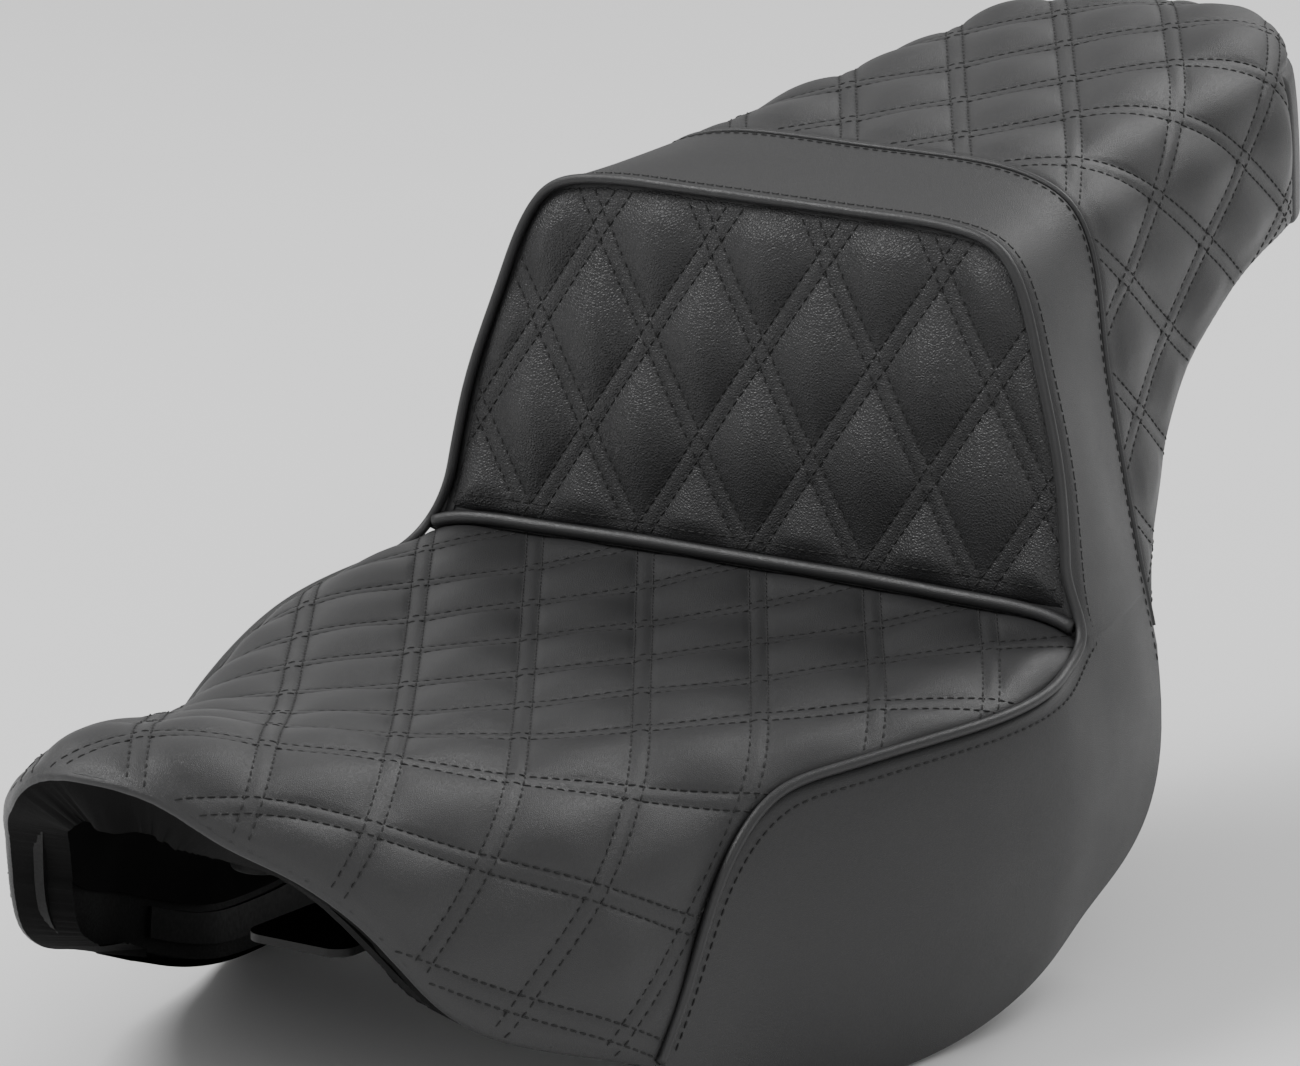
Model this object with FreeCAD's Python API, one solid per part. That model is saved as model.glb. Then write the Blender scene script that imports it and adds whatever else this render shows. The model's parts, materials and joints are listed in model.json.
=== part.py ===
"""Two-up motorcycle seat: quilted covers over foam on a moulded pan.

Millimetres. X is lateral, -Y is the nose, +Z is up. In the tables and functions below Y = 0 is
the foot of the back panel; the exported files are shifted by ORIGIN_Y. Heights in the tables are
measured from the seam at that foot, which lies BASE above Z = 0.
"""
import FreeCAD, Part
import math
import os

V = FreeCAD.Vector

# --- driving dimensions -------------------------------------------------------------------
BASE = 144.0          # height of the foot seam above the lowest edge of the skirts
COVER = 2.0           # vinyl with its backing
SIDE_FOAM = 10.0      # foam between the skirts' cover and the pan
PAN = 4.0             # wall of the moulded pan
LINER = 1.5           # felt glued inside the pan
LEAN = 0.085          # rearward lean of the back panel, mm per mm of height
PIPING_R = 2.0        # perimeter welt
ROLL_R = 2.7          # welt at the foot of the back panel
REAR_WELT_R = 1.6     # raised seam behind the band
GEL = 12.0            # gel insert thickness
SEAM_GAP = 0.15       # clearance between neighbouring covers
SLOT = 2.75           # half width of the slot that holds the perimeter welt
WELT_STAND = 0.6      # gap between the perimeter welt and the back panel's face
# Perimeter welt where it turns up the back panel, and the room cut there in the covers.
TURN = [(148.6, -9.0, BASE - 10.0), (145.4, -5.0, BASE - 1.0)]
TURN_ROOM = 5.0
SIDE_STEPS = 12       # points along half of a section
REACH = 260.0         # half width of a trimming prism

# Half sections (x, z) from the centre line to below the skirt edge.
# Rider part, nose first.
RIDER = [
    (-404, [(0, 6), (20, 3), (36, -6), (47, -20), (55, -40), (61, -66), (65, -95), (68, -130)]),
    (-390, [(0, 11), (22, 7), (40, -5), (52, -20), (62, -42), (70, -70), (76, -100), (79, -132)]),
    (-374, [(0, 13), (26, 8), (46, -3), (60, -20), (70, -44), (78, -72), (84, -102), (87, -134)]),
    (-340, [(0, 8), (28, 5), (52, -4), (70, -19), (82, -43), (90, -72), (96, -104), (99, -138)]),
    (-300, [(0, -1), (30, -2), (55, -6), (76, -20), (91, -38), (100, -65), (107, -100), (111, -142)]),
    (-262, [(0, -8), (32, -9), (60, -12), (82, -20), (101, -36), (114, -62), (121, -100), (124, -150)]),
    (-225, [(0, -13), (40, -13), (72, -16), (94, -23), (110, -38), (121, -64), (127, -102), (128, -158)]),
    (-187, [(0, -15), (45, -15), (82, -16), (106, -22), (122, -36), (131, -62), (134, -102), (130, -162)]),
    (-150, [(0, -15), (48, -14), (88, -15), (116, -19), (135, -31), (144, -60), (146, -100), (138, -164)]),
    (-112, [(0, -14), (50, -14), (95, -14), (127, -16), (147, -27), (155, -56), (156, -96), (141, -164)]),
    (-74, [(0, -13), (52, -12), (100, -12), (134, -14), (155, -24), (162, -54), (161, -94), (143, -162)]),
    (-36, [(0, -10), (52, -10), (100, -10), (132, -11), (154, -21), (163, -52), (161, -90), (142, -156)]),
    (-4, [(0, -5), (52, -5), (100, -6), (128, -7), (146, -12), (156, -40), (156, -84), (139, -146)]),
]
# Rear part, back panel first.
REAR = [
    (0, [(0, 132), (48, 132), (82, 131), (102, 125), (112, 112), (121, 88), (134, 46),
         (145, -12), (155, -42), (154, -84), (138, -144)]),
    (30, [(0, 136), (48, 136), (78, 134), (98, 126), (109, 110), (117, 82), (128, 42),
          (140, -12), (148, -42), (148, -82), (135, -140)]),
    (74, [(0, 142), (44, 142), (72, 139), (91, 130), (101, 111), (106, 80), (114, 38),
          (126, -14), (133, -44), (136, -82), (132, -138)]),
    (110, [(0, 146), (44, 145), (70, 143), (87, 131), (96, 110), (100, 74), (106, 30),
           (114, -16), (120, -46), (124, -84), (124, -138)]),
    (140, [(0, 149), (44, 149), (68, 146), (84, 133), (91, 112), (94, 72), (98, 28),
           (104, -18), (109, -48), (113, -86), (114, -138)]),
    (178, [(0, 154), (42, 153), (66, 150), (80, 138), (87, 118), (89, 76), (92, 30),
           (96, -20), (100, -50), (103, -88), (105, -138)]),
    (216, [(0, 159), (40, 158), (62, 154), (76, 142), (82, 122), (84, 80), (86, 32),
           (89, -20), (92, -50), (95, -88), (97, -138)]),
    (254, [(0, 163), (38, 162), (58, 158), (71, 146), (76, 126), (78, 84), (79, 34),
           (82, -20), (84, -50), (87, -88), (89, -138)]),
    (280, [(0, 164), (32, 163), (50, 159), (62, 148), (67, 129), (69, 86), (70, 36),
           (72, -20), (74, -50), (76, -88), (78, -138)]),
    (300, [(0, 162), (26, 161), (41, 158), (51, 148), (55, 131), (57, 88), (58, 38),
           (60, -20), (61, -50), (63, -88), (64, -138)]),
    (313, [(0, 157), (19, 156), (30, 153), (38, 145), (41, 131), (42, 90), (43, 40),
           (44, -20), (45, -50), (46, -88), (47, -138)]),
    (320, [(0, 147), (12, 147), (19, 145), (24, 140), (26, 129), (27, 90), (27, 40),
           (28, -20), (28, -50), (29, -88), (29, -138)]),
]
# Side view (y, z) of the covers' lower edge: nose hem, skirts, then the passenger pad.
LOWER_EDGE = [
    (-420, 17), (-410, 11), (-403, 5), (-392, -10), (-374, -26), (-354, -46), (-341, -64), (-326, -82),
    (-303, -96), (-272, -107), (-240, -118), (-210, -129), (-180, -137), (-150, -142), (-120, -144),
    (-90, -142), (-60, -136), (-30, -127), (0, -117), (30, -105), (52, -89), (65, -64), (71, -38),
    (82, -19), (97, -2), (118, 17), (139, 36), (164, 55), (194, 70), (222, 80), (252, 86), (285, 88),
    (340, 87),
]
# Side view of the seam between the rider cover and the skirts.
SIDE_SEAM = [
    (0, -12), (-24, -19), (-52, -23), (-80, -25), (-115, -27), (-150, -30), (-174, -34),
    (-190, -42), (-205, -55), (-219, -73), (-232, -93), (-245, -112), (-258, -132), (-268, -152),
]
# Side view of the pan's upper face: nose, flat floor, riser, flat under the passenger.
PAN_TOP = [
    (-430, 2), (-404, -7), (-360, -20), (-305, -42), (-250, -60), (0, -60), (38, -42), (62, -6),
    (86, 46), (116, 84), (160, 104), (340, 104),
]
PAN_BEND = 16.0       # radius of the pan's bends
FLOOR = -60.0         # upper face of the pan's floor
SHELF = 104.0         # upper face of the pan under the passenger
STRIP_LOW = 8.0       # cover retaining strips above the lower edge
STRIP_H = 12.0
FOAM_SPLIT = 58.0     # y of the plane between the back foam and the passenger foam
BAND_SEAM = 74.0      # y of the seam behind the band
TAIL_SEAM = 268.0     # y where the tail strip starts on the sides
TAIL_RIM = 146.0      # height of the seam along the tail's rim
BACK_BOTTOM = -2.0    # lower edge of the back panel cover
BACK_RETURN = 5.0     # depth to which the back panel cover turns round its edge
ORIGIN_Y = 42.0       # shift that puts the middle of the length at Y = 0 in the files

RIDER_GEL = (0.0, -112.0, 104.0, 76.0)      # centre x, y and half sizes
PASSENGER_GEL = (0.0, 172.0, 50.0, 56.0)
FLOOR_BUMPERS = [(-62, -226), (62, -226), (-66, -40), (66, -40)]
SHELF_BUMPERS = [(-44, 176), (44, 176)]
BUMPER_R = 12.0
BUMPER_H = 16.0

TONGUE_W = 44.0       # front tongue, a folded steel strap
TONGUE_T = 3.0
TONGUE_PAD = (-208.0, -168.0)               # y range of the pad under the floor
TONGUE_DROP = 17.0
TONGUE_TIP = -292.0
RIVETS_X = (-13.0, 13.0)
RIVET_R = 2.4

TAB_W = 40.0          # rear tab, a folded steel strap
TAB_T = 2.5
TAB_PAD = (216.0, 252.0)
TAB_DROP = 14.5
TAB_END = 302.0
TAB_RIVETS_X = (-11.0, 11.0)
TAB_RIVET_R = 2.5
THUMB_Y = 287.0       # axis of the captive thumbscrew
THUMB_R = 3.0
THUMB_CLEAR = 0.05    # radial clearance of its bore
KNOB_R = 8.0
KNOB_H = 8.0


# --- curves and sections ------------------------------------------------------------------
def spline_edge(points):
    """A smooth edge through a list of vectors."""
    curve = Part.BSplineCurve()
    curve.interpolate(points)
    return curve.toShape()


def resampled(half, count):
    """The half section as count + 1 evenly spaced points (x, z)."""
    edge = spline_edge([V(x, 0, z) for x, z in half])
    return [(p.x, p.z) for p in edge.discretize(count + 1)]


def catmull(before, start, end, after, t):
    """Cubic through start and end; each argument is (y, value)."""
    slope0 = (end[1] - before[1]) / (end[0] - before[0])
    slope1 = (after[1] - start[1]) / (after[0] - start[0])
    span = end[0] - start[0]
    t2 = t * t
    t3 = t2 * t
    return ((2 * t3 - 3 * t2 + 1) * start[1] + (t3 - 2 * t2 + t) * span * slope0
            + (3 * t2 - 2 * t3) * end[1] + (t3 - t2) * span * slope1)


def inset(points, t):
    """A half section moved inwards by t, along its own normals."""
    moved = []
    for i, (x, z) in enumerate(points):
        xa, za = points[max(i - 1, 0)]
        xb, zb = points[min(i + 1, len(points) - 1)]
        if i == 0:
            xa, za = -xb, zb
        length = math.hypot(xb - xa, zb - za)
        nx = -(zb - za) / length
        nz = (xb - xa) / length
        moved.append((x - nx * t, z - nz * t))
    moved[0] = (0.0, moved[0][1])
    return moved


def lean_shift(y, z):
    """Rearward shift that gives the back panel its lean and fades out behind it."""
    if z <= 0 or y < 0 or y > BAND_SEAM:
        return 0.0
    return LEAN * z * (1 - y / BAND_SEAM)


def grid_rows(stations, t, count):
    """Rows of vectors across the seat, one per station and one between each two."""
    halves = [(y, inset(resampled(half, count), t)) for y, half in stations]
    rows = []
    for k, (y, half) in enumerate(halves):
        rows.append((y, half))
        if k + 1 == len(halves):
            break
        y1, half1 = halves[k + 1]
        y0, half0 = halves[max(k - 1, 0)]
        y2, half2 = halves[min(k + 2, len(halves) - 1)]
        between = []
        for a, b, c, d in zip(half0, half, half1, half2):
            between.append(tuple(
                catmull((y0 - 0.001, a[n]), (y, b[n]), (y1, c[n]), (y2 + 0.001, d[n]), 0.5) for n in (0, 1)))
        rows.append(((y + y1) / 2, between))
    return rows


def surface(rows):
    """A smooth face through both halves of every row."""
    grid = []
    for y, half in rows:
        left = [V(-x, y + lean_shift(y, z), z + BASE) for x, z in reversed(half[1:])]
        right = [V(x, y + lean_shift(y, z), z + BASE) for x, z in half]
        grid.append(left + right)
    skin = Part.BSplineSurface()
    skin.interpolate(grid)
    return skin


def end_edges(skin):
    """The first and last cross edges of a surface, and its left and right long edges."""
    u0, u1, v0, v1 = skin.bounds()
    return (skin.uIso(u0).toShape(), skin.uIso(u1).toShape(),
            skin.vIso(v0).toShape(), skin.vIso(v1).toShape())


def line_between(edge):
    """Straight edge that closes a cross edge along the bottom."""
    first = edge.valueAt(edge.FirstParameter)
    last = edge.valueAt(edge.LastParameter)
    return Part.makeLine(first, last)


def envelope(t):
    """The whole seat as one solid, moved in by t from the outside of the covers."""
    rider_rows = grid_rows(RIDER, t, SIDE_STEPS)
    rear_rows = grid_rows(REAR, t, SIDE_STEPS)
    rider_rows[-1] = (rider_rows[-1][0] + t, rider_rows[-1][1])
    rear_rows[0] = (rear_rows[0][0] + t, rear_rows[0][1])
    rear_rows[-1] = (rear_rows[-1][0] - t, rear_rows[-1][1])
    rider = surface(rider_rows)
    rear = surface(rear_rows)
    r_front, r_back, r_left, r_right = end_edges(rider)
    b_front, b_back, b_left, b_right = end_edges(rear)
    step_left = Part.makeLine(r_left.valueAt(r_left.LastParameter), b_left.valueAt(b_left.FirstParameter))
    step_right = Part.makeLine(r_right.valueAt(r_right.LastParameter), b_right.valueAt(b_right.FirstParameter))
    faces = [
        rider.toShape(),
        rear.toShape(),
        Part.makeRuledSurface(r_back, b_front),
        Part.makeRuledSurface(r_left, r_right),
        Part.makeRuledSurface(b_left, b_right),
        Part.makeRuledSurface(step_left, step_right),
        Part.Face(Part.Wire([r_front, line_between(r_front)])),
        Part.Face(Part.Wire([b_back, line_between(b_back)])),
    ]
    shell = Part.Shell(faces)
    shell.sewShape()
    solid = Part.Solid(shell)
    if solid.Volume < 0:
        solid.reverse()
    return solid


# --- trimming tools -----------------------------------------------------------------------
def yz_prism(edges):
    """Closed loop of edges in a side view, extruded across the whole seat."""
    face = Part.Face(Part.Wire(edges))
    face.translate(V(-REACH, 0, 0))
    return face.extrude(V(2 * REACH, 0, 0))


def side_points(profile, lift=0.0, push=0.0):
    """Side view profile as vectors in the plane X = 0."""
    return [V(0, y + push, z + BASE + lift) for y, z in profile]


def closing_lines(points):
    """Straight edges through a list of vectors."""
    return [Part.makeLine(a, b) for a, b in zip(points, points[1:])]


def above_edge(lift):
    """Everything above the covers' lower edge, raised by lift."""
    points = side_points(LOWER_EDGE, lift)
    top = BASE + 260
    corners = [points[-1], V(0, points[-1].y, top), V(0, points[0].y, top), points[0]]
    return yz_prism([spline_edge(points)] + closing_lines(corners))


def rounded_path(points, radius):
    """Edges of a polyline whose inner corners are rounded."""
    edges = []
    start = points[0]
    for before, corner, after in zip(points, points[1:], points[2:]):
        back = (before - corner).normalize()
        ahead = (after - corner).normalize()
        half = back.getAngle(ahead) / 2
        reach = min(radius / math.tan(half), 0.45 * (after - corner).Length,
                    0.45 * (before - corner).Length)
        if reach < 0.01:
            continue
        bend = reach * math.tan(half)
        middle = corner + (back + ahead).normalize() * (bend / math.sin(half) - bend)
        first = corner + back * reach
        last = corner + ahead * reach
        edges.append(Part.makeLine(start, first))
        edges.append(Part.Arc(first, middle, last).toShape())
        start = last
    edges.append(Part.makeLine(start, points[-1]))
    return edges


def below_pan(drop):
    """Everything below the pan's upper profile, lowered by drop."""
    points = side_points(PAN_TOP, -drop)
    low = BASE - 200
    corners = [points[-1], V(0, points[-1].y, low), V(0, points[0].y, low), points[0]]
    return yz_prism(rounded_path(points, PAN_BEND) + closing_lines(corners))


def slab(y0, y1, z0=-200.0, z1=260.0):
    """Box across the seat between two y values and two heights."""
    return Part.makeBox(2 * REACH, y1 - y0, z1 - z0, V(-REACH, y0, z0 + BASE))


def offset_profile(points, reach):
    """Side view profile moved sideways; reach holds one distance per point."""
    moved = []
    for i, (y, z) in enumerate(points):
        ya, za = points[max(i - 1, 0)]
        yb, zb = points[min(i + 1, len(points) - 1)]
        length = math.hypot(yb - ya, zb - za)
        moved.append((y + (zb - za) / length * reach[i], z - (yb - ya) / length * reach[i]))
    return moved


def rider_zone(side):
    """Side view region of the rider cover; side is 1 for the cover itself, -1 for its neighbour."""
    reach = [side * (0.66 if y > -180 else 1.0) * SLOT for y, z in SIDE_SEAM]
    seam = side_points(offset_profile(SIDE_SEAM, reach))
    top = BASE + BACK_BOTTOM - SEAM_GAP
    corners = [
        seam[-1], V(0, -440, seam[-1].z), V(0, -440, BASE + 80), V(0, -6, BASE + 80),
        V(0, -6, top), V(0, COVER + 2, top), V(0, COVER + 2, seam[0].z), seam[0],
    ]
    return yz_prism([spline_edge(seam)] + closing_lines(corners))


def front_face_y(z):
    """y of the back panel's front face at a height."""
    foot = RIDER[-1][0]
    top = REAR[0][1][0][1]
    return foot + (z + 5.0) * (LEAN * top - foot) / (top + 5.0)


def back_zone(depth, low):
    """Region of the back panel cover: a leaning slab behind the front face, above low."""
    corners = [V(0, -9, BASE + low), V(0, front_face_y(low) + depth, BASE + low),
               V(0, front_face_y(150) + depth, BASE + 150), V(0, -9, BASE + 150), V(0, -9, BASE + low)]
    return yz_prism(closing_lines(corners))


# --- covers -------------------------------------------------------------------------------
def cover_skin(outer, under_cover, cavity):
    """The whole cover: outer skin with its edge turned in under the pan's rim."""
    skin = outer.common(above_edge(0.0))
    skin = skin.cut(under_cover.common(above_edge(COVER)))
    return skin.cut(cavity)


def side_x(solid, y, z):
    """Outermost x of a solid at a point of its side view."""
    probe = Part.makeLine(V(0, y, z + BASE), V(REACH, y, z + BASE))
    return solid.common(probe).BoundBox.XMax


def mirrored_path(points):
    """Smooth path that runs from the left side to the right side."""
    left = [V(-p.x, p.y, p.z) for p in points]
    right = [p for p in reversed(points) if p.x > 0.01]
    return spline_edge(left + right)


def largest(solids):
    """The biggest of several solids; the others are slivers left by a trim."""
    return max(solids, key=lambda solid: solid.Volume)


def cord_along(path, radius):
    """Round cord swept along an edge; a shifted copy of the edge keeps the section from twisting."""
    spine = Part.Wire([path])
    start = path.valueAt(path.FirstParameter)
    tangent = path.tangentAt(path.FirstParameter)
    sweep = Part.BRepOffsetAPI.MakePipeShell(spine)
    sweep.setAuxiliarySpine(spine.translated(V(30, -30, 30)), True, 0)
    sweep.add(Part.Wire([Part.makeCircle(radius, start, tangent)]))
    sweep.build()
    sweep.makeSolid()
    return sweep.shape()


def perimeter_path(outer):
    """Centre line of the perimeter welt, from the skirt's edge to the middle of the top."""
    points = []
    for y, z in reversed(SIDE_SEAM[1:-2]):
        x = side_x(outer, y, z)
        flare = (side_x(outer, y, z - 2) - side_x(outer, y, z + 2)) / 4
        length = math.hypot(1.0, flare)
        points.append(V(x + 1.0 / length, y, z + BASE + flare / length))
    points += [V(*p) for p in TURN]
    for x, z in reversed(inset(resampled(REAR[0][1], 24), 1.2)):
        if z > 8:
            points.append(V(x, front_face_y(z) - PIPING_R - WELT_STAND, z + BASE))
    return mirrored_path(points)


def foot_roll_path():
    """Centre line of the welt along the foot of the back panel."""
    y = RIDER[-1][0] - ROLL_R - 0.1
    half = [(138.0, -9.4), (128.0, -7.4), (100.0, -6.3), (52.0, -5.4), (0.0, -5.4)]
    return mirrored_path([V(x, y, z + ROLL_R + 0.9 + BASE) for x, z in half])


def rear_welt_path():
    """Centre line of the raised seam behind the band."""
    half = inset(resampled(dict(REAR)[int(BAND_SEAM)], 24), -0.5)
    points = [(x, z) for x, z in half if z > -22]
    return mirrored_path([V(x, BAND_SEAM, z + BASE) for x, z in reversed(points)])


def tail_zone(gap):
    """Region of the tail strip."""
    return slab(TAIL_SEAM + gap, 340.0, -200.0, TAIL_RIM - gap)


# --- hardware -----------------------------------------------------------------------------
def rounded_slab(centre, low, high, corner=24.0):
    """Upright block with rounded corners from (x, y, half width, half length)."""
    x, y, half_w, half_l = centre
    block = Part.makeBox(2 * half_w, 2 * half_l, high - low, V(x - half_w, y - half_l, low))
    uprights = [e for e in block.Edges if abs(e.tangentAt(e.FirstParameter).z) > 0.9]
    return block.makeFillet(corner, uprights)


def upright(x, y, z0, z1, radius):
    """Upright cylinder between two heights above the foot seam."""
    return Part.makeCylinder(radius, z1 - z0, V(x, y, z0 + BASE))


def folded_strap(pad, drop, end, under, width, thick):
    """Steel strap: a pad under a flat of the pan, an inclined part and a lower flat."""
    y_pad, y_bend = pad
    run = math.copysign(14.0, end - y_bend)
    upper = [(y_pad, under), (y_bend, under), (y_bend + run, under - drop), (end, under - drop)]
    points = [V(0, y, z + BASE) for y, z in upper]
    lower = [p - V(0, 0, thick) for p in points]
    strap = Part.Face(Part.Wire(closing_lines(points + lower[::-1] + [points[0]])))
    strap.translate(V(-width / 2, 0, 0))
    solid = strap.extrude(V(width, 0, 0))
    tips = [e for e in solid.Edges
            if abs(e.CenterOfMass.y - end) < 0.01 and abs(e.tangentAt(e.FirstParameter).z) > 0.9]
    return solid.makeFillet(8.0, tips)


def rivet(x, y, top, bottom, radius):
    """Solid rivet with a flat head above the pan and another below the strap."""
    body = upright(x, y, bottom - 1.8, top + 1.2, radius)
    head = upright(x, y, top, top + 1.2, 2 * radius)
    foot = upright(x, y, bottom - 1.8, bottom, 1.8 * radius)
    return body.fuse([head, foot]).removeSplitter()


def thumbscrew(top):
    """Knob, shank and a groove for the retaining clip; top is the tab's upper face."""
    knob = upright(0, THUMB_Y, top + 0.1, top + 0.1 + KNOB_H, KNOB_R)
    for k in range(18):
        angle = 2 * math.pi * k / 18
        x = (KNOB_R + 0.5) * math.cos(angle)
        y = THUMB_Y + (KNOB_R + 0.5) * math.sin(angle)
        knob = knob.cut(upright(x, y, top, top + 9, 1.1))
    shank = upright(0, THUMB_Y, top - 20, top + 1, THUMB_R)
    groove = upright(0, THUMB_Y, top - TAB_T - 1.4, top - TAB_T - 0.2, THUMB_R)
    neck = upright(0, THUMB_Y, top - TAB_T - 1.4, top - TAB_T - 0.2, THUMB_R - 0.8)
    return knob.fuse(shank).cut(groove.cut(neck)).removeSplitter()


def retaining_clip(top):
    """Ring clip in the thumbscrew's groove, just below the tab."""
    high = top - TAB_T - 0.25
    ring = upright(0, THUMB_Y, high - 1.1, high, THUMB_R + 2.6)
    return ring.cut(upright(0, THUMB_Y, high - 2, high + 1, THUMB_R - 0.8))


# --- assembly -----------------------------------------------------------------------------
def build():
    """All parts of the seat by name."""
    outer = envelope(0.0)
    under_cover = envelope(COVER)
    pan_outer = envelope(COVER + SIDE_FOAM)
    pan_inner = envelope(COVER + SIDE_FOAM + PAN)
    liner_inner = envelope(COVER + SIDE_FOAM + PAN + LINER)
    rim = above_edge(COVER)

    pan_block = pan_outer.common(below_pan(0.0))
    cavity = pan_inner.common(below_pan(PAN))
    parts = {}

    perimeter = cord_along(perimeter_path(outer), PIPING_R)
    skin = cover_skin(outer, under_cover, cavity)
    turns = [Part.makeSphere(TURN_ROOM, V(side * x, y, z)) for side in (-1, 1) for x, y, z in TURN]
    parts["back_cover"] = largest(skin.common(back_zone(BACK_RETURN, BACK_BOTTOM)).cut(turns).Solids)
    parts["rider_cover"] = largest(skin.common(rider_zone(1)).cut(turns).Solids)
    front_half = skin.common(slab(-440.0, BAND_SEAM - REAR_WELT_R - 0.05))
    back_room = back_zone(BACK_RETURN + SEAM_GAP, BACK_BOTTOM - SEAM_GAP)
    parts["surround_cover"] = largest(front_half.cut([back_room, rider_zone(-1)] + turns).Solids)
    rear_half = skin.common(slab(BAND_SEAM + REAR_WELT_R + 0.05, 340.0))
    parts["tail_cover"] = rear_half.common(tail_zone(SEAM_GAP))
    parts["passenger_cover"] = rear_half.cut(tail_zone(0.0))
    parts["perimeter_piping"] = perimeter
    parts["foot_roll"] = cord_along(foot_roll_path(), ROLL_R)
    parts["rear_seam_welt"] = cord_along(rear_welt_path(), REAR_WELT_R)

    pan = pan_block.cut(cavity).common(rim)
    padding = under_cover.common(rim).cut(pan_block)
    wells = []
    for x in RIVETS_X:
        wells.append(upright(x, sum(TONGUE_PAD) / 2, FLOOR, FLOOR + 1.6, 2 * RIVET_R + 0.4))
    for x in TAB_RIVETS_X:
        wells.append(upright(x, sum(TAB_PAD) / 2, SHELF, SHELF + 2.6, 2 * TAB_RIVET_R + 0.4))
    gel_skin = under_cover.cut(envelope(COVER + GEL))
    rider_gel = gel_skin.common(rounded_slab(RIDER_GEL, BASE - 40, BASE + 20))
    passenger_gel = gel_skin.common(rounded_slab(PASSENGER_GEL, BASE + 110, BASE + 190))
    parts["rider_foam"] = padding.common(slab(-440.0, -0.5)).cut([rider_gel] + wells)
    parts["back_foam"] = padding.common(slab(0.0, FOAM_SPLIT))
    parts["passenger_foam"] = padding.common(slab(FOAM_SPLIT + 0.1, 340.0)).cut([passenger_gel] + wells)
    parts["rider_gel"] = rider_gel
    parts["passenger_gel"] = passenger_gel

    shelf = SHELF - PAN
    floor = FLOOR - PAN
    tongue = folded_strap(TONGUE_PAD[::-1], TONGUE_DROP, TONGUE_TIP, floor, TONGUE_W, TONGUE_T)
    tab = folded_strap(TAB_PAD, TAB_DROP, TAB_END, shelf, TAB_W, TAB_T)
    tab_top = shelf - TAB_DROP
    tab = tab.cut(upright(0, THUMB_Y, tab_top - 10, tab_top + 10, THUMB_R + THUMB_CLEAR))
    tongue_y = sum(TONGUE_PAD) / 2
    tab_y = sum(TAB_PAD) / 2
    for k, x in enumerate(RIVETS_X):
        body = rivet(x, tongue_y, FLOOR, floor - TONGUE_T, RIVET_R)
        parts["tongue_rivet_%d" % (k + 1)] = body
    for k, x in enumerate(TAB_RIVETS_X):
        body = rivet(x, tab_y, SHELF, shelf - TAB_T, TAB_RIVET_R)
        parts["tab_rivet_%d" % (k + 1)] = body
    shanks = [upright(x, tongue_y, floor - 20, FLOOR + 1, RIVET_R) for x in RIVETS_X]
    shanks += [upright(x, tab_y, shelf - 20, SHELF + 1, TAB_RIVET_R) for x in TAB_RIVETS_X]
    parts["base_pan"] = pan.cut(shanks)
    parts["front_tongue"] = tongue.cut(shanks)
    parts["rear_tab"] = tab.cut(shanks)
    parts["thumbscrew"] = thumbscrew(tab_top)
    parts["thumbscrew_clip"] = retaining_clip(tab_top)

    pads = []
    for k, (x, y) in enumerate(FLOOR_BUMPERS):
        pads.append(("floor_bumper_%d" % (k + 1), upright(x, y, floor - BUMPER_H, floor, BUMPER_R)))
    for k, (x, y) in enumerate(SHELF_BUMPERS):
        pads.append(("shelf_bumper_%d" % (k + 1), upright(x, y, shelf - BUMPER_H, shelf, BUMPER_R)))
    for name, pad in pads:
        parts[name] = pad.makeFillet(2.0, [e for e in pad.Edges if e.CenterOfMass.z < pad.CenterOfMass.z - 2
                                           and e.isClosed()])
    room = [upright(x, y, floor - 5, floor + 1, BUMPER_R + 2) for x, y in FLOOR_BUMPERS]
    room += [upright(x, y, shelf - 5, shelf + 1, BUMPER_R + 2) for x, y in SHELF_BUMPERS]
    room.append(Part.makeBox(TONGUE_W + 4, 150, 40, V(-TONGUE_W / 2 - 2, TONGUE_PAD[1] - 148, BASE + floor - 38)))
    room.append(Part.makeBox(TAB_W + 4, 120, 30, V(-TAB_W / 2 - 2, TAB_PAD[0] - 2, BASE + shelf - 28)))
    lining = cavity.cut(liner_inner.common(below_pan(PAN + LINER)))
    parts["pan_liner"] = lining.common(above_edge(STRIP_LOW + STRIP_H + 3)).cut(room)
    strip_zone = above_edge(STRIP_LOW).cut(above_edge(STRIP_LOW + STRIP_H)).common(slab(-232.0, 34.0, -200.0, 0.0))
    strips = lining.common(strip_zone)
    for side, sign in (("left", 1), ("right", -1)):
        pieces = [solid for solid in strips.Solids if solid.CenterOfMass.x * sign > 0]
        parts["cover_strip_" + side] = largest(pieces)
    return parts


if __name__ == "__main__":
    os.makedirs("parts", exist_ok=True)
    for name, shape in build().items():
        shape.translate(V(0, ORIGIN_Y, 0))
        shape.exportStep("parts/%s.step" % name)
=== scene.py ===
"""Looks of the two-up motorcycle seat: quilted vinyl covers, welts, stitching and materials.

Work is done in millimetres from the foot of the back panel (X lateral, -Y to the nose, +Z up) and
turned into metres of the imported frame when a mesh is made.
"""
import json
import math

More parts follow.
